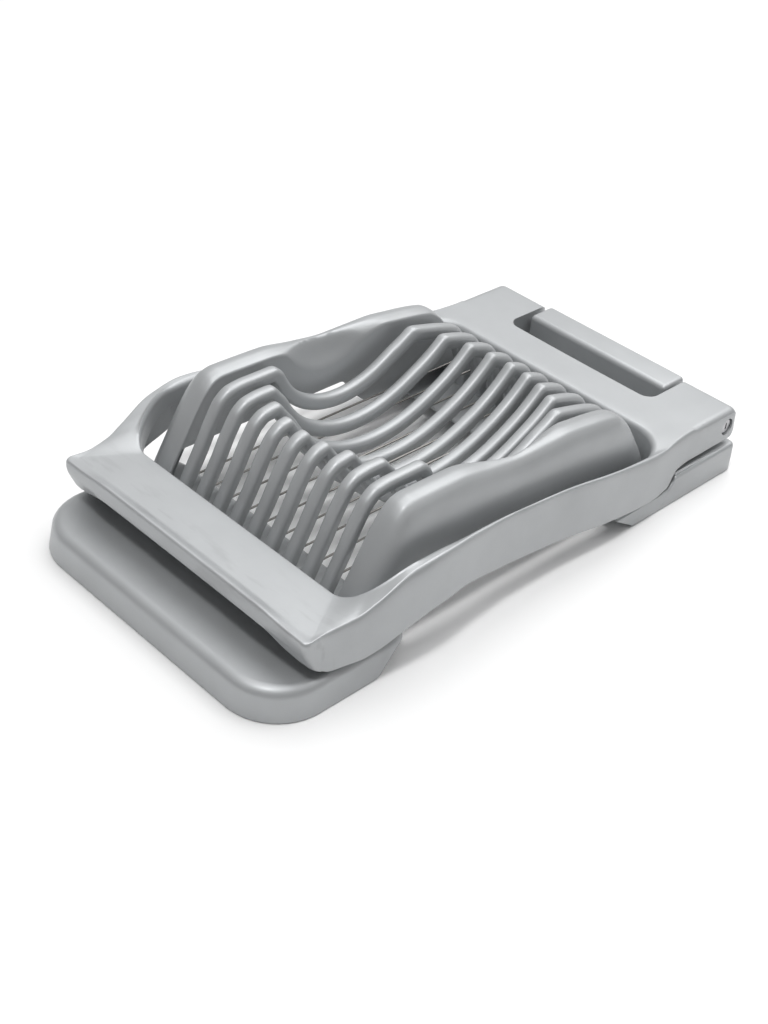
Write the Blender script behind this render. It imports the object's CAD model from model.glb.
"""Egg slicer: a slotted bowl on two feet under a wire-strung cutting frame, ready to render."""
import math

import bpy
import numpy as np
from mathutils import Matrix, Vector


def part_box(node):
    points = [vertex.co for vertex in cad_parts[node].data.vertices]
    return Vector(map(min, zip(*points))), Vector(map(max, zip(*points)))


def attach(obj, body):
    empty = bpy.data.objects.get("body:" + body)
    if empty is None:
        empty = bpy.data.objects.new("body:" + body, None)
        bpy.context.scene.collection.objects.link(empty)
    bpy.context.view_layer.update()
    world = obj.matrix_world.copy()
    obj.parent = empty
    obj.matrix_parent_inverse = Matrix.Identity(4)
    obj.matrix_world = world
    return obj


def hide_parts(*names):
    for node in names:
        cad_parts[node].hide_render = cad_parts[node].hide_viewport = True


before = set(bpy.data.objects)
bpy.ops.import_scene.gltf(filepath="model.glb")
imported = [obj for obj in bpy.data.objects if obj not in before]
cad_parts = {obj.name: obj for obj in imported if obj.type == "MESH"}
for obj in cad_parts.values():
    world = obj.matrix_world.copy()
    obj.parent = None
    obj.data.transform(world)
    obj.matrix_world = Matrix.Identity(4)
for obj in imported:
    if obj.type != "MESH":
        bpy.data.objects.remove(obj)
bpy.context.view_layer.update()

# Lengths below are in millimetres and are turned into metres where a mesh is made.
MM = 0.001


def node_box(node):
    """Lowest and highest corner of a CAD node, in millimetres."""
    low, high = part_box(node)
    return np.array(low) / MM, np.array(high) / MM


# ---------------------------------------------------------------- sizes

FOOT_LOW, FOOT_HIGH = node_box("front_foot")
REAR_LOW, REAR_HIGH = node_box("rear_foot")
KNUCKLE_LOW, KNUCKLE_HIGH = node_box("hinge_knuckle")
PIN_LOW, PIN_HIGH = node_box("hinge_pin")
HANDLE_LOW, HANDLE_HIGH = node_box("handle_bar")

# Bars of the bowl
BAR_COUNT = 9
PITCH = 5.0
BAR_WIDTH = 2.8
BAR_DEPTH = 3.0
BAR_TOP_R = 1.1
BAR_LOW_R = 0.6
BAR_SHALLOW = 2.35
CREST = 29.0
BAR_FRONT = -43.6
BAR_REAR = 40.6

# The two eggs that the bowl is hollowed for: centre along Y and Z, then half sizes along X,
# Y and Z, of the one that lies along the bowl and the one that lies across it
EGG_ALONG = (2.2, 59.7, 34.7, 40.2, 49.1)
EGG_ACROSS = (-0.7, 31.3, 26.9, 25.3, 21.3)

# Hinge pin, the ears that turn on it and the notch between them
PIN_R = (PIN_HIGH[2] - PIN_LOW[2]) / 2
PIN_Y = (PIN_HIGH[1] + PIN_LOW[1]) / 2
PIN_Z = (PIN_HIGH[2] + PIN_LOW[2]) / 2
EAR_X = 34.2
EAR_R = 3.8
EAR_END_R = 2.5
EAR_SIDE_R = 1.8
NOTCH_X = 20.4
NOTCH_Y = 53.0
NOTCH_R = 2.5
EAR_START = NOTCH_Y + NOTCH_R
# Where the frame's top begins to take the ears' side rounding, and the point of the
# opening's rear edge that faces the corner of the notch
EAR_BLEND = 47
NOTCH_INNER_X = 18.0

# Cutting frame: front plate and lip, opening, then wall thicknesses and roundings
FRONT_Y = float(HANDLE_LOW[1])
FRONT_PLATE = 15.8
LIP_RISE = 0.7
LEAN_TOP = 14.8
CORNER_R = 1.3
OPEN_FRONT = -45.3
OPEN_REAR = 42.0
OPEN_R_ACROSS = 8.0
OPEN_R_ALONG = 12.0
OPEN_R_REAR = 8.7
OPEN_SIDE_FRONT = OPEN_FRONT + OPEN_R_ALONG
OPEN_SIDE_REAR = OPEN_REAR - OPEN_R_REAR
OUTER_SIDE_FRONT = -36.3
CROSSBAR_TOP = 15.5
FLANGE_LOW = 8.2
CAST_WALL = 2.2
FRONT_FLANGE = 1.2
REAR_FLANGE = 3.8
SIDE_FALL = 4.8
SIDE_ROUND = 2.2
SIDE_ROOF = 4.5
FRONT_ROUND = 0.9
FLARE = 0.35
INNER_EDGE_R = 1.2
LIP_BOTTOM = 12.6
CORNER_LIP = 0.3

# Walls of the bowl
WALL_IN = 23.6
WALL_OUT = 30.8
WALL_LOW = float(FOOT_HIGH[2]) - 1.0
WALL_REAR = 41.4
WALL_EDGE_R = 0.6
WALL_THICK = 2.0

# Feet and knuckle
STEP_END = 44.5
STEP_TOP = 4.2
TOE_CUT = 5.8
PAD_SLOPE = 3.9
KNUCKLE_R = 1.2
FOOT_LEAN = 5.0
FOOT_REACH = 3.0


# ---------------------------------------------------------------- curves

def smooth_line(*knots):
    """A smooth function through (position, value) knots that never overshoots them."""
    t, v = np.array(knots, float).T
    rise = np.diff(v) / np.diff(t)
    slope = np.zeros_like(v)
    slope[0], slope[-1] = rise[0], rise[-1]
    for i in range(1, len(v) - 1):
        if rise[i - 1] * rise[i] > 0:
            slope[i] = 2 / (1 / rise[i - 1] + 1 / rise[i])

    def at(x):
        x = np.asarray(x, float)
        i = np.clip(np.searchsorted(t, x, "right") - 1, 0, len(t) - 2)
        h = t[i + 1] - t[i]
        s = np.clip((x - t[i]) / h, 0, 1)
        inside = (v[i] * (2 * s**3 - 3 * s**2 + 1) + h * slope[i] * (s**3 - 2 * s**2 + s)
                  + v[i + 1] * (3 * s**2 - 2 * s**3) + h * slope[i + 1] * (s**3 - s**2))
        return inside + np.minimum(x - t[0], 0) * rise[0] + np.maximum(x - t[-1], 0) * rise[-1]

    return at


# Heights of the bars' and the walls' top lines, along Y.
bar_line = smooth_line(
    (-43.6, 6.8), (-41.3, 11.6), (-38.2, 17.6), (-35.6, 23.2), (-33.2, 27), (-30.6, 28.6),
    (-27, CREST), (-17, CREST), (19, 25.2), (24, 24.1), (28.5, 22.9), (33.4, 21), (34.9, 19.6),
    (37.6, 14.5), (39.8, 9), (40.6, 4))
wall_line = smooth_line(
    (-43.6, 6.8), (-41.3, 11.8), (-38.2, 17.6), (-34.6, 24.2), (-32.6, 26.9), (-30.8, 28.3),
    (-28.6, 28.8), (-17, 28.6), (-8, 27.2), (1, 26.2), (12, 26.2), (19, 25.5), (29, 23.8),
    (31.5, 22.4), (33.3, 20.8), (36.5, 16.6), (39.3, 12.4), (41, 8.5), (42, 4))

# Half widths of the frame outside and of its opening, along Y.
outer_plan = smooth_line(
    (-60, 34.2), (-56, 34.2), (-52, 34.7), (-46, 35.8), (-38, 36.9), (-31, 37.4), (-20, 36.3),
    (-8, 35.4), (5, 35.4), (20, 36.1), (34, 36.2), (44, 34.9), (51, EAR_X), (70, EAR_X))
open_plan = smooth_line((-36.3, 33.8), (-28, 34), (-12, 33.4), (5, 33.2), (24, 33.6), (35.6, 33.2))

# Heights of the frame's outer and inner top edges and of its lower edge, along Y.
outer_top = smooth_line(
    (-60, 15.8), (-50, 16), (-46, 17.3), (-39, 20.9), (-31, 22.8), (-22, 22.9), (-11, 22.7),
    (4, 21.9), (19, 20.1), (34, 17.3), (43, CROSSBAR_TOP), (70, CROSSBAR_TOP))
inner_top = smooth_line(
    (-39, 21), (-33, 22.3), (-29, 22.4), (-23, 21.8), (-12, 20.5), (0, 18.9), (12, 17.4), (24, 15.8),
    (36, 15))
skirt_line = smooth_line(
    (-60, 8.8), (-56, 8.4), (-52.5, 7.6), (-47, 7.5), (-43, 8.3), (-38, 10.1), (-30, 12.1),
    (-24, 12.2), (-11, 10.2), (0, 8.9), (12, 7.5), (24, 5.9), (33, 5.1), (43.5, 4.8))

# Front of the frame, along X: bottom of the lip and of the rib below it, how far the rib
# stands back, and how far the face leans back at its foot.
lip_low = smooth_line((0, 13.3), (12, 13.3), (24, 13), (28, 12.8), (33.4, 12.6))
rib_low = smooth_line((0, 11.8), (23, 11.8), (26, 11.5), (29, 10.7), (31, 9.9), (33.4, 9.2))
rib_back = smooth_line((0, 1.3), (22, 1.3), (25, 0.8), (28, 0.1), (30, 0), (34, 0))
lean_back = smooth_line((0, 0), (22, 0), (25, 0.4), (28, 1.1), (33.4, 2.6))

# Depth of the bars along Y, and how far a wall's top falls below its top line, across X.
bar_depth = smooth_line(
    (-60, BAR_SHALLOW), (-32, BAR_SHALLOW), (-24, 2.6), (-15, BAR_DEPTH), (60, BAR_DEPTH))
wall_drop = smooth_line(
    (23.6, 0), (24.6, -0.2), (26, -0.45), (27.4, -0.25), (28.6, 0.7), (29.5, 2.2), (30.2, 4.3),
    (30.6, 6.6), (WALL_OUT, 9))


def blend(a, b, t):
    """From a to b as t goes from 0 to 1, without a kink at either end."""
    t = np.clip(t, 0, 1)
    return a + (b - a) * t * t * (3 - 2 * t)


def soft_min(a, b, k):
    """The lower of two heights, with a fillet of about k where they cross."""
    return np.minimum(a, b) - np.maximum(k - np.abs(a - b), 0) ** 2 / (4 * k)


def egg_floor(x, y, yc, zc, rx, ry, rz):
    """Lower half of an ellipsoid centred at (0, yc, zc), and 99 outside of it."""
    q = 1 - (x / rx) ** 2 - ((y - yc) / ry) ** 2
    return np.where(q > 0, zc - rz * np.sqrt(np.maximum(q, 0)), 99.0)


def hollow(x, y):
    """The egg-shaped hollow: one egg lying along the bowl and one lying across it."""
    return soft_min(egg_floor(x, y, *EGG_ALONG), egg_floor(x, y, *EGG_ACROSS), 2.0)


def arc(cx, cy, r, start, end, count):
    """Points of an arc in degrees, both ends included."""
    a = np.radians(np.linspace(start, end, count))
    return np.stack([cx + r * np.cos(a), cy + r * np.sin(a)], 1)


def along(points, count):
    """The given number of points, evenly spaced along a line of points."""
    points = np.asarray(points, float)
    far = np.concatenate([[0], np.cumsum(np.linalg.norm(np.diff(points, axis=0), axis=1))])
    want = np.linspace(0, far[-1], count)
    return np.stack([np.interp(want, far, points[:, k]) for k in range(points.shape[1])], 1)


# ---------------------------------------------------------------- modelling

def deselect():
    """Leaves edit mode and selects nothing."""
    if bpy.context.mode != "OBJECT":
        bpy.ops.object.mode_set(mode="OBJECT")
    bpy.ops.object.select_all(action="DESELECT")


def edit(piece):
    """Goes into edit mode on one piece, with nothing selected."""
    deselect()
    piece.select_set(True)
    bpy.context.view_layer.objects.active = piece
    bpy.ops.object.mode_set(mode="EDIT")
    bpy.ops.mesh.select_all(action="DESELECT")


def pick(piece, test, kind="FACE"):
    """Selects the faces, edges or vertices whose middle, in millimetres, passes a test."""
    bpy.ops.mesh.select_all(action="DESELECT")
    bpy.ops.mesh.select_mode(type=kind)
    bpy.ops.object.mode_set(mode="OBJECT")
    mesh = piece.data
    items = {"FACE": mesh.polygons, "EDGE": mesh.edges, "VERT": mesh.vertices}[kind]
    for item in items:
        if kind == "VERT":
            middle = item.co
            normal = item.normal
        elif kind == "EDGE":
            a, b = (mesh.vertices[v].co for v in item.vertices)
            middle = (a + b) / 2
            normal = b - a
        else:
            middle = item.center
            normal = item.normal
        item.select = bool(test(middle / MM, normal))
    bpy.ops.object.mode_set(mode="EDIT")


def grid_piece(name, rows):
    """A grid primitive whose rows of points are put where a shape's rows are, in millimetres."""
    rows = np.asarray(rows, float) * MM
    count, length = rows.shape[:2]
    deselect()
    bpy.ops.mesh.primitive_grid_add(x_subdivisions=length - 1, y_subdivisions=count - 1, size=1)
    piece = bpy.context.active_object
    piece.name = piece.data.name = name
    piece.data.vertices.foreach_set("co", rows.reshape(-1))
    piece.data.update()
    return piece


def close_up(piece, fill_ends=True):
    """Joins the seams of a grid, closes its open ends and turns its faces outwards."""
    edit(piece)
    bpy.ops.mesh.select_all(action="SELECT")
    bpy.ops.mesh.remove_doubles(threshold=0.002 * MM)
    if fill_ends:
        bpy.ops.mesh.select_all(action="DESELECT")
        bpy.ops.mesh.select_mode(type="EDGE")
        bpy.ops.mesh.select_non_manifold()
        bpy.ops.mesh.fill_holes(sides=0)
    bpy.ops.mesh.select_all(action="SELECT")
    bpy.ops.mesh.normals_make_consistent(inside=False)
    bpy.ops.object.mode_set(mode="OBJECT")


def modify(piece, kind, **settings):
    """Adds a modifier and applies it."""
    deselect()
    piece.select_set(True)
    bpy.context.view_layer.objects.active = piece
    modifier = piece.modifiers.new(kind.title(), kind)
    for key, value in settings.items():
        setattr(modifier, key, value)
    bpy.ops.object.modifier_apply(modifier=modifier.name)


def block(name, low, high):
    """A cube primitive brought to the given corners, in millimetres."""
    low, high = np.array(low, float), np.array(high, float)
    deselect()
    bpy.ops.mesh.primitive_cube_add(size=1)
    piece = bpy.context.active_object
    piece.name = piece.data.name = name
    piece.data.transform(Matrix.Diagonal((*((high - low) * MM), 1)))
    piece.data.transform(Matrix.Translation(Vector((low + high) / 2 * MM)))
    return piece


def round_rim(radius, segments):
    """Rounds the outline of the faces that are selected."""
    bpy.ops.mesh.select_mode(type="EDGE")
    bpy.ops.mesh.region_to_loop()
    bpy.ops.mesh.bevel(offset=radius * MM, segments=segments, affect="EDGES")


def shift(piece, test, distance):
    """Moves the vertices that pass a test along Y, by a distance in millimetres."""
    edit(piece)
    pick(piece, test, "VERT")
    bpy.ops.transform.translate(value=(0, distance * MM, 0))
    bpy.ops.object.mode_set(mode="OBJECT")


def join_solids(piece, other, operation="UNION"):
    """Adds one solid to another, or cuts it away, and removes the second one."""
    modify(piece, "BOOLEAN", operation=operation, solver="EXACT", object=other)
    bpy.data.objects.remove(other, do_unlink=True)


def rod(name, start, end, radius, sides=48):
    """A closed cylinder from start to end, in millimetres."""
    start, end = np.array(start, float), np.array(end, float)
    deselect()
    length = float(np.linalg.norm(end - start))
    way = Vector((end - start) / length)
    bpy.ops.mesh.primitive_cylinder_add(vertices=sides, radius=radius * MM, depth=length * MM)
    piece = bpy.context.active_object
    piece.name = piece.data.name = name
    turn = Vector((0, 0, 1)).rotation_difference(way).to_matrix().to_4x4()
    piece.data.transform(Matrix.Translation(Vector((start + end) / 2 * MM)) @ turn)
    return piece


def finish_piece(piece, body, material, slot, *nodes, angle=35):
    """Smooths a piece, gives it its material and says what it stands for."""
    deselect()
    piece.select_set(True)
    bpy.context.view_layer.objects.active = piece
    bpy.ops.object.shade_smooth_by_angle(angle=math.radians(angle))
    piece.data.materials.clear()
    piece.data.materials.append(material)
    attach(piece, body)
    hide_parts(*nodes)


# ---------------------------------------------------------------- materials

def new_material(name):
    material = bpy.data.materials.new(name)
    material.use_nodes = True
    nodes = material.node_tree.nodes
    return material, nodes, material.node_tree.links, nodes["Principled BSDF"]


def noise(nodes, links, scale, detail=3.0, roughness=0.5):
    """Noise on Object coordinates; scale is in cycles per metre."""
    place = nodes.new("ShaderNodeTexCoord")
    texture = nodes.new("ShaderNodeTexNoise")
    texture.inputs["Scale"].default_value = scale
    texture.inputs["Detail"].default_value = detail
    texture.inputs["Roughness"].default_value = roughness
    links.new(place.outputs["Object"], texture.inputs["Vector"])
    return texture.outputs["Fac"]


def ramp(nodes, links, source, *stops):
    """A colour ramp; each stop is (position, grey or colour)."""
    node = nodes.new("ShaderNodeValToRGB")
    elements = node.color_ramp.elements
    while len(elements) < len(stops):
        elements.new(0.5)
    for element, (position, value) in zip(elements, stops):
        element.position = position
        colour = (value, value, value) if isinstance(value, (int, float)) else value
        element.color = (*colour, 1)
    links.new(source, node.inputs["Fac"])
    return node.outputs["Color"]


def scuffs(nodes, links):
    """Faint short rub marks along X on the top of the front plate, as a mask from 0 to 1."""
    place = nodes.new("ShaderNodeTexCoord")
    stretch = nodes.new("ShaderNodeMapping")
    stretch.inputs["Scale"].default_value = (110, 520, 300)
    links.new(place.outputs["Object"], stretch.inputs["Vector"])
    marks = nodes.new("ShaderNodeTexNoise")
    marks.inputs["Scale"].default_value = 1.0
    marks.inputs["Detail"].default_value = 5.0
    links.new(stretch.outputs["Vector"], marks.inputs["Vector"])
    split = nodes.new("ShaderNodeSeparateXYZ")
    links.new(place.outputs["Object"], split.inputs["Vector"])
    front = nodes.new("ShaderNodeMapRange")
    front.inputs["From Min"].default_value = -0.046
    front.inputs["From Max"].default_value = -0.056
    links.new(split.outputs["Y"], front.inputs["Value"])
    both = nodes.new("ShaderNodeMath")
    both.operation = "MULTIPLY"
    links.new(ramp(nodes, links, marks.outputs["Fac"], (0.54, 0), (0.67, 1)), both.inputs[0])
    links.new(front.outputs["Result"], both.inputs[1])
    return both.outputs[0]


def cast_metal(name, rubbed=False):
    """Satin cast aluminium; rubbed, it has faint scuffs along the front plate."""
    material, nodes, links, shader = new_material(name)
    mottle = noise(nodes, links, 140, 4, 0.55)
    colour = ramp(nodes, links, mottle, (0.3, (0.48, 0.494, 0.504)), (0.7, (0.505, 0.519, 0.529)))
    if rubbed:
        worn = nodes.new("ShaderNodeMix")
        worn.data_type = "RGBA"
        links.new(scuffs(nodes, links), worn.inputs["Factor"])
        links.new(colour, worn.inputs["A"])
        worn.inputs["B"].default_value = (0.44, 0.45, 0.46, 1)
        colour = worn.outputs["Result"]
    links.new(colour, shader.inputs["Base Color"])
    sheen = noise(nodes, links, 60, 2)
    rough = ramp(nodes, links, sheen, (0.3, 0.46), (0.7, 0.54))
    links.new(rough, shader.inputs["Roughness"])
    shader.inputs["Metallic"].default_value = 0.6
    shader.inputs["Coat Weight"].default_value = 0.22
    shader.inputs["Coat Roughness"].default_value = 0.25
    grain = noise(nodes, links, 1700, 3, 0.65)
    bump = nodes.new("ShaderNodeBump")
    bump.inputs["Strength"].default_value = 0.09
    bump.inputs["Distance"].default_value = 0.0002
    links.new(grain, bump.inputs["Height"])
    links.new(bump.outputs["Normal"], shader.inputs["Normal"])
    return material


def drawn_steel(name, colour, roughness):
    """Bright steel with fine drawing marks."""
    material, nodes, links, shader = new_material(name)
    marks = noise(nodes, links, 900, 3)
    dark = tuple(c * 0.8 for c in colour)
    links.new(ramp(nodes, links, marks, (0.35, dark), (0.65, colour)), shader.inputs["Base Color"])
    links.new(ramp(nodes, links, marks, (0.3, roughness - 0.06), (0.7, roughness + 0.06)),
              shader.inputs["Roughness"])
    shader.inputs["Metallic"].default_value = 1.0
    return material


CAST = cast_metal("satin_cast_aluminium")
RUBBED = cast_metal("rubbed_cast_aluminium", True)
WIRE_STEEL = drawn_steel("drawn_wire_steel", (0.36, 0.35, 0.33), 0.35)
PIN_STEEL = drawn_steel("turned_pin_steel", (0.5, 0.5, 0.51), 0.3)


# ---------------------------------------------------------------- bars of the bowl

def bar_section():
    """Points round a bar: half width, and depth below its top line."""
    points = []
    top_x = BAR_WIDTH / 2 - BAR_TOP_R
    low_x = BAR_WIDTH / 2 - BAR_LOW_R
    low_z = BAR_LOW_R - BAR_DEPTH
    for cx, cy, r, start in ((top_x, -BAR_TOP_R, BAR_TOP_R, 0), (-top_x, -BAR_TOP_R, BAR_TOP_R, 90),
                             (-low_x, low_z, BAR_LOW_R, 180), (low_x, low_z, BAR_LOW_R, 270)):
        points.extend(arc(cx, cy, r, start, start + 90, 5))
    return np.array(points)


def bar_path(x):
    """Top line of the bar at x, as evenly spaced (y, z) points, with the way that it faces."""
    y = np.linspace(BAR_FRONT, BAR_REAR, 1200)
    z = soft_min(bar_line(y), hollow(x, y), 0.9)
    line = along(np.stack([y, z], 1), 260)
    way = np.gradient(line, axis=0)
    reach = 18
    weight = np.exp(-((np.arange(-reach, reach + 1) / 5.0) ** 2))
    padded = np.pad(way, ((reach, reach), (0, 0)), "edge")
    way = np.stack([np.convolve(padded[:, k], weight, "valid") for k in (0, 1)], 1)
    way /= np.linalg.norm(way, axis=1)[:, None]
    return line, np.stack([-way[:, 1], way[:, 0]], 1)


def cradle_bar(number):
    """One bar: its section carried along its top line, shallower on the front slope."""
    x = (number - (BAR_COUNT + 1) / 2) * PITCH
    section = bar_section()
    section = np.vstack([section, section[:1]])
    line, up = bar_path(x)
    rows = np.empty((len(section), len(line), 3))
    shallow = BAR_DEPTH - bar_depth(line[:, 0])
    for i, (across, depth) in enumerate(section):
        lift = shallow if depth < -BAR_DEPTH / 2 else 0 * shallow
        rows[i, :, 0] = x + across
        rows[i, :, 1:] = line + up * (depth + lift)[:, None]
    piece = grid_piece(f"cradle_bar_{number}_cast", rows)
    close_up(piece)
    finish_piece(piece, "base", CAST, "cast_aluminium", f"cradle_bar_{number}")


# ---------------------------------------------------------------- bowl walls

def wall_rows():
    """Rows of points along the wall, from its inner bottom edge over the top to its outer one."""
    y = np.linspace(BAR_FRONT, WALL_REAR, 214)
    edge = WALL_IN + WALL_EDGE_R
    rows = []
    for a in np.radians([0, 22, 45, 68, 90]):
        x = WALL_IN + WALL_EDGE_R * (1 - math.cos(a))
        rows.append((x, WALL_EDGE_R * (1 - math.sin(a))))
    crown = np.arange(24.5, 28.4, 0.3)
    for x in (*crown, 28.7, 29, 29.3, 29.6, 29.9, 30.2, 30.4, 30.6, 30.7, WALL_OUT):
        rows.append((x, wall_drop(np.array(x))))
    made = []
    for x, drop in rows:
        z = soft_min(wall_line(y) - (drop if x > edge else 0), hollow(x, y), 2.2)
        if x <= edge:
            z = z - drop
        z = np.maximum(z, WALL_LOW + 0.5)
        made.append(np.stack([np.full_like(y, x), y, z], 1))
    return made


def bowl_wall(side, name):
    """A wall of the bowl: a sheet over its rows, thickened inwards."""
    rows = wall_rows()
    inner, outer = rows[0], rows[-1]
    inner_low = inner.copy()
    inner_low[:, 2] = np.minimum(inner[:, 2] - 0.5, blend(15.6, 8.0, (inner[:, 1] - 3) / 9))
    outer_low = outer.copy()
    outer_low[:, 2] = np.minimum(outer[:, 2] - 0.5, 12.0)
    rows = np.array([inner_low, *rows, outer_low])
    rows[..., 0] *= side
    piece = grid_piece(f"{name}_cast", rows)
    edit(piece)
    bpy.ops.mesh.select_all(action="SELECT")
    bpy.ops.mesh.normals_make_consistent(inside=False)
    bpy.ops.object.mode_set(mode="OBJECT")
    modify(piece, "SOLIDIFY", thickness=WALL_THICK * MM, offset=-1, use_even_offset=False)
    finish_piece(piece, "base", CAST, "cast_aluminium", name)


# ---------------------------------------------------------------- feet and knuckle

def rounded_plate(name, low, high, front_r, rear_r, rim, draft):
    """A plate from a cube: its corners rounded in plan, its sides drafted, its top rim rounded."""
    low, high = np.array(low, float), np.array(high, float)
    size = high - low
    middle = (low + high) / 2
    piece = block(name, low, high)
    edit(piece)
    for corner_r, end in ((front_r, -1), (rear_r, 1)):
        pick(piece, lambda p, n: (abs(n.z) > 0.5 * size[2] * MM and (p.y - middle[1]) * end > 0
                                  and abs(p.x) > abs(high[0]) - 0.01), "EDGE")
        bpy.ops.mesh.bevel(offset=corner_r * MM, segments=12, affect="EDGES")
    pick(piece, lambda p, n: n.z > 0.9)
    bpy.ops.transform.resize(
        value=(1 - 2 * draft / size[0], 1 - 2 * draft / size[1], 1),
        center_override=Vector(middle * MM))
    round_rim(rim, 8)
    pick(piece, lambda p, n: n.z < -0.9)
    round_rim(0.5, 3)
    bpy.ops.object.mode_set(mode="OBJECT")
    return piece


def front_foot():
    """Plate at the front, whose rear face leans back from the floor."""
    high = FOOT_HIGH + np.array((0, FOOT_REACH, 0))
    front = rounded_plate("front_foot_cast", FOOT_LOW, high,
                          front_r=11.5, rear_r=6.0, rim=2.0, draft=0.8)
    shift(front, lambda p, n: p.z < 1.0 and p.y > high[1] - 8, -FOOT_LEAN)
    finish_piece(front, "base", CAST, "cast_aluminium", "front_foot", angle=30)


def rear_foot():
    """Plate under the hinge, with a lower step in front of it whose toe is cut back underneath."""
    pad_low = (REAR_LOW[0], STEP_END - PAD_SLOPE, 0)
    pad = rounded_plate("rear_foot_cast", pad_low, REAR_HIGH,
                        front_r=0.4, rear_r=1.5, rim=0.9, draft=0.2)
    shift(pad, lambda p, n: p.z > 4 and p.y < STEP_END - PAD_SLOPE + 3, PAD_SLOPE)
    toe_low = (REAR_LOW[0] + 0.02, REAR_LOW[1], 0)
    toe_high = (REAR_HIGH[0] - 0.02, STEP_END + 5, STEP_TOP)
    toe = rounded_plate("rear_foot_toe", toe_low, toe_high,
                        front_r=0.4, rear_r=0.5, rim=0.4, draft=0.2)
    shift(toe, lambda p, n: p.z < 1.0 and p.y < REAR_LOW[1] + 3.0, TOE_CUT)
    join_solids(pad, toe)
    finish_piece(pad, "base", CAST, "cast_aluminium", "rear_foot", angle=30)


def hinge_knuckle():
    """Bar with a rounded top that stands on the rear foot and holds the pin."""
    piece = block("hinge_knuckle_cast", KNUCKLE_LOW, KNUCKLE_HIGH)
    edit(piece)
    pick(piece, lambda p, n: abs(n.x) > 0.03 and p.z > KNUCKLE_HIGH[2] - 0.1, "EDGE")
    bpy.ops.mesh.bevel(offset=KNUCKLE_R * MM, segments=12, affect="EDGES")
    pick(piece, lambda p, n: abs(n.x) > 0.9)
    round_rim(1.0, 6)
    bpy.ops.object.mode_set(mode="OBJECT")
    bore = rod("bore", (-30, PIN_Y, PIN_Z), (30, PIN_Y, PIN_Z), PIN_R)
    join_solids(piece, bore, "DIFFERENCE")
    finish_piece(piece, "base", CAST, "cast_aluminium", "hinge_knuckle", angle=30)


def hinge_pin():
    """Steel pin with rounded ends and a small slot in each."""
    high = PIN_HIGH[0] - 0.1
    piece = rod("hinge_pin_steel", (-high, PIN_Y, PIN_Z), (high, PIN_Y, PIN_Z), PIN_R)
    edit(piece)
    pick(piece, lambda p, n: abs(n.x) > 0.9)
    round_rim(0.3, 3)
    bpy.ops.object.mode_set(mode="OBJECT")
    half_slot = np.array((0.4, 0.25, 0.75))
    for side in (-1, 1):
        end = np.array((side * high, PIN_Y, PIN_Z))
        join_solids(piece, block("pin_slot", end - half_slot, end + half_slot), "DIFFERENCE")
    finish_piece(piece, "base", PIN_STEEL, "steel", "hinge_pin", angle=30)


# ---------------------------------------------------------------- frame

# What a station of the frame holds after its outer and inner points, in the order that
# frame_section reads it, and the value that most stations share.
STATION = {
    "outer": 0.0,  # height of the outer top edge
    "inner": 0.0,  # height of the inner top edge
    "under": 0.0,  # bottom of the outer face, or of the lip at the front
    "skirt": 0.0,  # bottom of the skirt
    "face": FLANGE_LOW,  # bottom of the inner face
    "roof": CAST_WALL,  # how far the ceiling is below the top
    "round": 0.0,  # how far the outer rounding goes across
    "fall": 0.0,  # how far the outer rounding goes down
    "edge": INNER_EDGE_R,  # radius of the inner rounding
    "lip": 0.0,  # share of the lip
    "flange": CAST_WALL,  # thickness of the inner face
    "back": 0.0,  # how far the rib stands back under the lip
    "lean": 0.0,  # how far the face leans back at its foot
}


def stations(outside, inside, **given):
    """Stations from outer to inner points; a given value may be a function of (x, y, t)."""
    rows = []
    for i, ((xo, yo), (xi, yi)) in enumerate(zip(outside, inside)):
        t = i / (len(outside) - 1)
        row = [xo, yo, xi, yi]
        for key, usual in STATION.items():
            value = given.get(key, usual)
            row.append(float(value(xo, yo, t) if callable(value) else value))
        rows.append(row)
    return rows


def corner_start():
    """X where the frame's front corner begins."""
    return float(outer_plan(FRONT_Y + CORNER_R)) - CORNER_R


def opening_half(y):
    """Half width of the frame's opening."""
    return float(open_plan(y))


def front_edge():
    """Stations along the right half of the front edge."""
    count = 44
    inner_end = opening_half(OPEN_SIDE_FRONT) - OPEN_R_ACROSS
    return stations(
        along([(0, FRONT_Y), (corner_start(), FRONT_Y)], count),
        along([(0, OPEN_FRONT), (inner_end, OPEN_FRONT)], count),
        outer=FRONT_PLATE,
        inner=FRONT_PLATE,
        under=lambda x, y, t: lip_low(x),
        skirt=lambda x, y, t: rib_low(x),
        back=lambda x, y, t: rib_back(x),
        lean=lambda x, y, t: lean_back(x),
        round=FRONT_ROUND,
        fall=FRONT_ROUND,
        edge=0.6,
        lip=lambda x, y, t: 1 - 0.7 * blend(0, 1, (x - 21) / 9),
        flange=FRONT_FLANGE)


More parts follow.
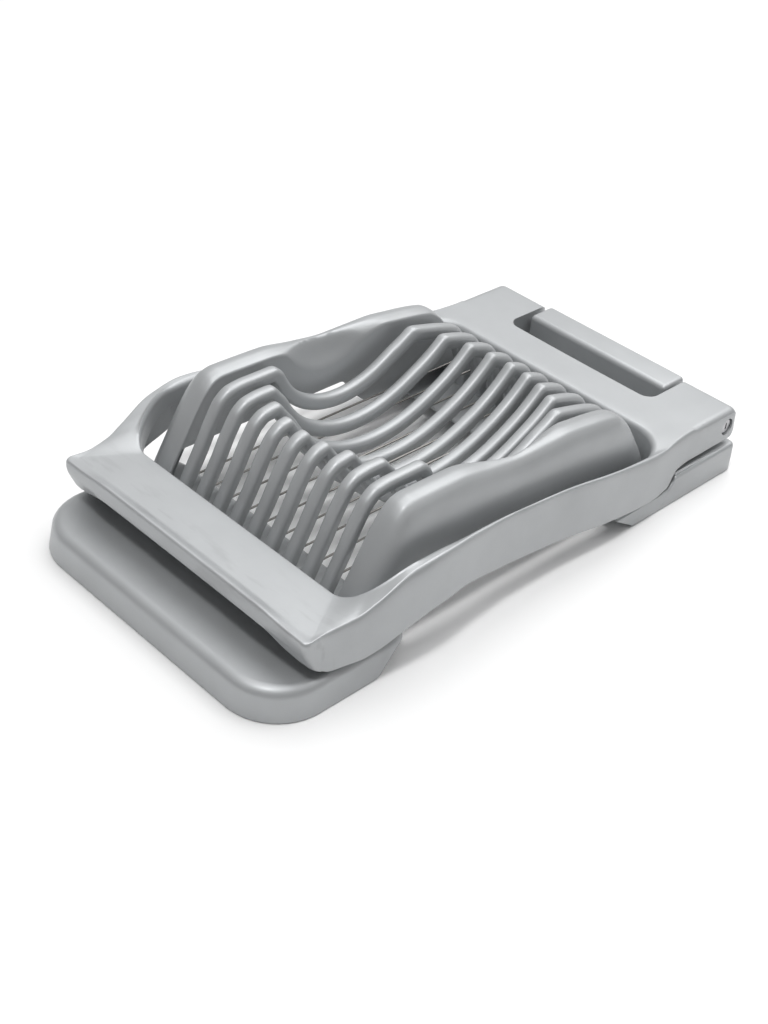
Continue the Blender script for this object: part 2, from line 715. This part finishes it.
def front_corner():
    """Stations round the front corner, and on to where the opening's side begins."""
    count = 80
    start = corner_start()
    ys = np.linspace(FRONT_Y + CORNER_R, OUTER_SIDE_FRONT, 60)
    side = [(float(outer_plan(y)), y) for y in ys]
    bend = arc(start, FRONT_Y + CORNER_R, CORNER_R, -90, 0, 24)
    turn = np.radians(np.linspace(-90, 0, 60))
    inner_start = opening_half(OPEN_SIDE_FRONT) - OPEN_R_ACROSS
    inner = np.stack([inner_start + OPEN_R_ACROSS * np.cos(turn),
                      OPEN_SIDE_FRONT + OPEN_R_ALONG * np.sin(turn)], 1)
    side_top = float(inner_top(OPEN_SIDE_FRONT))
    low_start, lean_start = float(rib_low(start)), float(lean_back(start))
    return stations(
        along(np.vstack([bend, side[1:]]), count)[1:],
        along(inner, count)[1:],
        outer=lambda x, y, t: outer_top(y) if y > FRONT_Y + 1 else FRONT_PLATE,
        inner=lambda x, y, t: blend(FRONT_PLATE, side_top, t),
        under=lambda x, y, t: blend(LIP_BOTTOM, skirt_line(y) + 0.6, t * 4),
        skirt=lambda x, y, t: blend(low_start, skirt_line(y), t * 7),
        lean=lambda x, y, t: blend(lean_start, 0.0, t * 3.4),
        face=lambda x, y, t: blend(FLANGE_LOW, side_top - SIDE_ROOF, t),
        roof=lambda x, y, t: blend(CAST_WALL, SIDE_ROOF, t),
        round=lambda x, y, t: blend(FRONT_ROUND, SIDE_ROUND, t * 4),
        fall=lambda x, y, t: blend(FRONT_ROUND, SIDE_FALL, t * 2.5),
        edge=lambda x, y, t: blend(0.6, INNER_EDGE_R, t * 2),
        lip=lambda x, y, t: blend(CORNER_LIP, 0.0, t * 4),
        flange=lambda x, y, t: blend(FRONT_FLANGE, CAST_WALL, t * 2))


def side_run():
    """Stations along the side bar."""
    count = 90
    ys = np.linspace(OUTER_SIDE_FRONT, OPEN_SIDE_REAR, count)
    yi = np.linspace(OPEN_SIDE_FRONT, OPEN_SIDE_REAR, count)

    def inner(x, y, t):
        return inner_top(OPEN_SIDE_FRONT + (OPEN_SIDE_REAR - OPEN_SIDE_FRONT) * t)

    return stations(
        np.stack([outer_plan(ys), ys], 1)[1:],
        np.stack([open_plan(yi), yi], 1)[1:],
        outer=lambda x, y, t: outer_top(y),
        inner=inner,
        under=lambda x, y, t: skirt_line(y) + 0.4,
        skirt=lambda x, y, t: skirt_line(y),
        face=lambda x, y, t: inner(x, y, t) - SIDE_ROOF,
        roof=SIDE_ROOF,
        round=SIDE_ROUND,
        fall=SIDE_FALL)


def rear_skirt(y):
    """Bottom of the skirt, which steps up where the rear foot's pad begins."""
    return blend(skirt_line(y), FLANGE_LOW, (y - STEP_END + 2.3) / 3.2)


def rear_corner():
    """Stations round the rear corner, as far as the front of the ear."""
    ys = np.concatenate([np.linspace(OPEN_SIDE_REAR, STEP_END - 2.6, 14),
                         np.linspace(STEP_END - 2.3, STEP_END + 0.9, 18),
                         np.linspace(STEP_END + 1.3, EAR_START, 28)])
    inner_end = opening_half(OPEN_SIDE_REAR) - OPEN_R_REAR
    inner = arc(inner_end, OPEN_SIDE_REAR, OPEN_R_REAR, 0, 90, 60)
    side_top = float(inner_top(OPEN_SIDE_REAR))
    return stations(
        np.stack([outer_plan(ys), ys], 1)[1:],
        along(inner, len(ys))[1:],
        outer=lambda x, y, t: outer_top(y),
        inner=lambda x, y, t: blend(side_top, CROSSBAR_TOP, t * 1.5),
        under=lambda x, y, t: rear_skirt(y) + 0.4,
        skirt=lambda x, y, t: rear_skirt(y),
        face=lambda x, y, t: blend(side_top - SIDE_ROOF, FLANGE_LOW, t),
        roof=lambda x, y, t: blend(SIDE_ROOF, CAST_WALL, t),
        round=lambda x, y, t: blend(SIDE_ROUND, EAR_SIDE_R, t),
        fall=lambda x, y, t: blend(SIDE_FALL, EAR_SIDE_R, t),
        flange=lambda x, y, t: blend(CAST_WALL, REAR_FLANGE, t))


def ear_front():
    """Stations along the face that the ear is drawn out of, from its outer side to the notch."""
    inner_end = opening_half(OPEN_SIDE_REAR) - OPEN_R_REAR
    turn = np.radians(np.linspace(90, 0, 9))
    over = [(EAR_X - EAR_SIDE_R + EAR_SIDE_R * math.sin(a), EAR_START) for a in turn]
    straight = along([(EAR_X - EAR_SIDE_R, EAR_START), (NOTCH_X, EAR_START)], 16)
    face = np.vstack([over, straight[1:]])
    return stations(
        face[1:],
        along([(inner_end, OPEN_REAR), (NOTCH_INNER_X, OPEN_REAR)], len(face))[1:],
        outer=CROSSBAR_TOP,
        inner=CROSSBAR_TOP,
        under=FLANGE_LOW + 0.4,
        skirt=FLANGE_LOW,
        flange=REAR_FLANGE)


def notch_run():
    """Stations along the notch between the ears, from the ear to the middle."""
    bend = arc(NOTCH_X - NOTCH_R, EAR_START, NOTCH_R, 0, -90, 14)
    straight = along([(NOTCH_X - NOTCH_R, NOTCH_Y), (0, NOTCH_Y)], 16)
    notch = np.vstack([bend, straight[1:]])
    return stations(
        notch[1:],
        along([(NOTCH_INNER_X, OPEN_REAR), (0, OPEN_REAR)], len(notch))[1:],
        outer=CROSSBAR_TOP,
        inner=CROSSBAR_TOP,
        under=FLANGE_LOW + 0.4,
        skirt=FLANGE_LOW,
        round=lambda x, y, t: blend(0.0, 0.8, t * 3),
        fall=lambda x, y, t: blend(0.0, 0.8, t * 3),
        flange=REAR_FLANGE)


def frame_stations():
    """Where the sections of the frame's right half stand, from the front round to the back."""
    return np.array([*front_edge(), *front_corner(), *side_run(), *rear_corner(), *ear_front(),
                     *notch_run()])


def lip_height(d):
    """Height of the front lip above the plate: a rounded ridge at the edge, with a soft foot."""
    return LIP_RISE * (1 - blend(0, 1, (d - 0.8) / 2.4))


def frame_section(station):
    """Closed section of the frame at one station, as points (x, y, z)."""
    (xo, yo, xi, yi, top_o, top_i, under, skirt, face, roof,
     round_o, fall, edge, lip, flange, back, lean) = station
    outer, inner = np.array([xo, yo]), np.array([xi, yi])
    width = float(np.linalg.norm(inner - outer))
    way = (inner - outer) / width
    round_i = min(edge, 0.3 * width)
    round_d = min(max(round_o, 0.6), 0.65 * width)
    fine_end = min(4.2, (round_d + width - round_i) / 2)
    points = []

    def top(d):
        return top_o + (top_i - top_o) * d / width + lip * lip_height(d)

    def put(d, z):
        """Adds a point at d from the outer edge; the foot of the face leans, the ears round over."""
        x, y = outer + way * d
        if d < 0.6 * width:
            y += lean * np.clip((LEAN_TOP - z) / (LEAN_TOP - skirt), 0, 1) ** 1.1
        if yo > EAR_BLEND:
            z = min(z, ear_top(x) + blend(3, 0, (yo - EAR_BLEND) / 6))
        points.append((x, y, z))

    # Bottom of the skirt, up the rib, and out under the lip
    put(back + 0.5, skirt)
    put(back + 0.15, skirt + 0.06)
    for s in np.linspace(0, 1, 5):
        put(back, skirt + 0.2 + (under - 0.08 - skirt - 0.2) * s)
    put(0.9 * back, under)
    put(0.35 * back, under + 0.1 * back + 0.02)
    put(0.06 * back, under + 0.4)
    # Up the outer face, which draws in a little, and over the outer rounding
    for s in np.linspace(0, 1, 5)[1:]:
        put(FLARE * s, under + 0.4 + (top(0) - fall - under - 0.4) * s)
    for a in np.radians(np.linspace(0, 90, 11)[1:]):
        d = FLARE + (round_d - FLARE) * (1 - math.cos(a))
        put(d, top(d) - fall * (1 - math.sin(a)))
    # Across the top, closer together at the lip, and over the inner rounding
    for d in np.linspace(round_d, fine_end, 16)[1:]:
        put(d, top(d))
    for d in np.linspace(fine_end, width - round_i, 6)[1:]:
        put(d, top(d))
    for a in np.radians(np.linspace(90, 0, 6)[1:]):
        put(width - round_i * (1 - math.cos(a)), top(width) - round_i * (1 - math.sin(a)))
    # Down the inner face, round the flange, and along the ceiling back to the skirt
    for s in np.linspace(0, 1, 4)[1:]:
        put(width, top(width) - round_i + (face + 0.3 - top(width) + round_i) * s)
    put(width - 0.3, face)
    thick = min(flange, 0.45 * width)
    put(width - thick + 0.2, face)
    put(width - thick, face + 0.2)
    put(width - thick, max(top(width - thick) - roof, face + 0.25))
    wall = min(CAST_WALL + back, 0.5 * width)
    put(wall, max(min(top(wall) - roof, top(wall) - 1.2), skirt + 0.3))
    put(wall, skirt + 0.15)
    put(wall - 0.15, skirt)
    return points


def ear_top(x):
    """Height of the rear crossbar's top, which rounds over towards the ears' outer faces."""
    over = np.clip((x - EAR_X + EAR_SIDE_R) / EAR_SIDE_R, 0, 1)
    return CROSSBAR_TOP - EAR_SIDE_R * (1 - math.sqrt(max(1 - over * over, 0)))


def frame_casting():
    """The whole cutting frame: handle bar, side bars, rear crossbar and hinge ears in one casting."""
    right = [frame_section(station) for station in frame_stations()]
    right = np.array(right)
    left = right[1:-1][::-1].copy()
    left[..., 0] *= -1
    ring = np.concatenate([right, left, right[:1]])
    ring = np.concatenate([ring, ring[:, :1]], 1)
    piece = grid_piece("cutting_frame_cast", ring)
    close_up(piece, fill_ends=False)
    ears(piece)
    finish_piece(piece, "cutting_frame", RUBBED, "cast_aluminium",
                 "handle_bar", "side_bar_left", "side_bar_right", "rear_crossbar", angle=40)


def ears(piece):
    """Draws the two ears out of the frame's rear face, rounds them about the pin and bores them."""
    middle = (NOTCH_X + EAR_X) / 2
    half = (EAR_X - NOTCH_X) / 2
    straight = PIN_Y + EAR_R - EAR_END_R
    stops = [(straight, EAR_R, 0.0)]
    for a in np.radians(np.linspace(0, 90, 11))[1:]:
        inset = 0.9 * (1 - math.cos(a))
        stops.append((straight + EAR_END_R * math.sin(a), EAR_R - EAR_END_R * (1 - math.cos(a)), inset))
    for side in (-1, 1):
        edit(piece)
        pick(piece, lambda p, n: p.y > EAR_START - 0.5 and n.y > 0.8 and NOTCH_X < side * p.x < EAR_X)
        y, tall, wide = EAR_START, EAR_R, half
        for next_y, next_tall, inset in stops:
            bpy.ops.mesh.extrude_region_move(
                TRANSFORM_OT_translate={"value": (0, (next_y - y) * MM, 0)})
            bpy.ops.transform.resize(
                value=((half - inset) / wide, 1, next_tall / tall),
                center_override=(side * middle * MM, next_y * MM, PIN_Z * MM))
            y, tall, wide = next_y, next_tall, half - inset
    bpy.ops.object.mode_set(mode="OBJECT")
    bore = rod("bore", (-40, PIN_Y, PIN_Z), (40, PIN_Y, PIN_Z), PIN_R + 0.2)
    join_solids(piece, bore, "DIFFERENCE")


front_foot()
rear_foot()
hinge_knuckle()
hinge_pin()
for number in range(1, BAR_COUNT + 1):
    cradle_bar(number)
bowl_wall(-1, "bowl_wall_left")
bowl_wall(1, "bowl_wall_right")
frame_casting()

for name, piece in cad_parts.items():
    if name.startswith("wire_") or name.endswith("ferrules"):
        piece.data.materials.clear()
        piece.data.materials.append(WIRE_STEEL)


# ---------------------------------------------------------------- floor, light and camera

def floor_and_world():
    """A floor that is white to the camera and greyer to bounced light, under a graded sky."""
    deselect()
    bpy.ops.mesh.primitive_plane_add(size=6, location=(0, 0, 0))
    floor = bpy.context.active_object
    floor.name = "floor"
    material, nodes, links, shader = new_material("white_floor")
    seen = nodes.new("ShaderNodeLightPath")
    either = nodes.new("ShaderNodeMath")
    either.operation = "MAXIMUM"
    links.new(seen.outputs["Is Camera Ray"], either.inputs[0])
    links.new(seen.outputs["Is Glossy Ray"], either.inputs[1])
    every = nodes.new("ShaderNodeMath")
    every.operation = "MAXIMUM"
    links.new(either.outputs[0], every.inputs[0])
    links.new(seen.outputs["Is Transmission Ray"], every.inputs[1])
    links.new(ramp(nodes, links, every.outputs[0], (0, 0.4), (1, 0.96)), shader.inputs["Base Color"])
    shader.inputs["Roughness"].default_value = 0.9
    floor.data.materials.append(material)
    world = bpy.data.worlds.new("studio")
    bpy.context.scene.world = world
    world.use_nodes = True
    nodes, links = world.node_tree.nodes, world.node_tree.links
    place = nodes.new("ShaderNodeTexCoord")
    aim = nodes.new("ShaderNodeVectorMath")
    aim.operation = "DOT_PRODUCT"
    aim.inputs[1].default_value = (-0.35, 0.3, 0.85)
    links.new(place.outputs["Generated"], aim.inputs[0])
    sky = ramp(nodes, links, aim.outputs["Value"], (0, 0.29), (0.45, 0.58), (0.9, 1.0))
    links.new(sky, nodes["Background"].inputs["Color"])
    nodes["Background"].inputs["Strength"].default_value = 0.7


def soft_lamp(name, place, aim, size, power):
    """A round area lamp at a place, turned to its aim, in metres and watts."""
    lamp = bpy.data.lights.new(name, "AREA")
    lamp.shape = "DISK"
    lamp.size = size
    lamp.energy = power
    piece = bpy.data.objects.new(name, lamp)
    bpy.context.scene.collection.objects.link(piece)
    piece.location = place
    way = Vector(aim) - Vector(place)
    piece.rotation_euler = way.to_track_quat("-Z", "Y").to_euler()


def camera():
    """Looks down on the front right corner."""
    data = bpy.data.cameras.new("camera")
    data.lens = 53.09
    data.sensor_width = 36
    data.clip_start = 0.01
    piece = bpy.data.objects.new("camera", data)
    bpy.context.scene.collection.objects.link(piece)
    piece.location = (0.16503, -0.19089, 0.18032)
    piece.rotation_euler = [math.radians(turn) for turn in (53.766, -5.365, 45.537)]
    bpy.context.scene.camera = piece
    bpy.context.scene.view_settings.view_transform = "Standard"


floor_and_world()
soft_lamp("key", (-0.04, 0.4, 0.77), (0, 0, 0), 0.9, 4.2)
soft_lamp("top", (0.11, -0.28, 0.78), (0, 0, 0), 0.12, 2.1)
camera()
